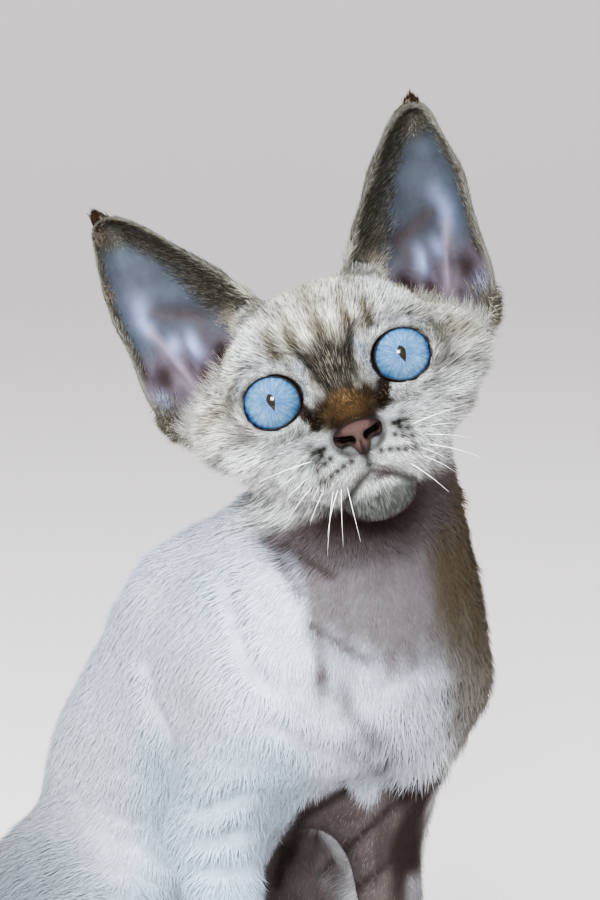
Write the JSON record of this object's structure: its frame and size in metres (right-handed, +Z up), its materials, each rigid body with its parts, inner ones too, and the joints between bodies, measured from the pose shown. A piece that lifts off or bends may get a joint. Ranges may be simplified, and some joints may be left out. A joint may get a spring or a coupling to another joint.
{
  "type": "devon rex cat",
  "caption": "Sitting kitten of a curly coated breed with very large ears and blue eyes, head turned and tilted, tail laid round its left side, as a still figure.",
  "frame": {"origin": "middle of the kitten's box, on the floor under it", "axes": "+Z up, -Y the way the trunk faces, +X the kitten's left"},
  "size_m": [0.1396, 0.2188, 0.2832],
  "materials": {
    "fur": "short wavy pale fur, matte",
    "point_fur": "short dark ticked fur, matte",
    "ear_skin": "thin bare skin, soft satin",
    "nose_leather": "bare moist skin, satin",
    "eye": "wet gloss over a blue iris"
  },
  "bodies": {
    "root": {"head": "fur", "nose": "nose_leather", "ear_left": "ear_skin", "ear_right": "ear_skin", "eye_left": "eye", "eye_right": "eye", "neck": "fur", "torso": "fur", "foreleg_left": "fur", "foreleg_right": "fur", "forepaw_left": "point_fur", "forepaw_right": "point_fur", "hindleg_left": "fur", "hindleg_right": "fur", "hindpaw_left": "point_fur", "hindpaw_right": "point_fur", "tail_base": "point_fur", "tail_middle": "point_fur", "tail_tip": "point_fur"}
  },
  "joints": []
}
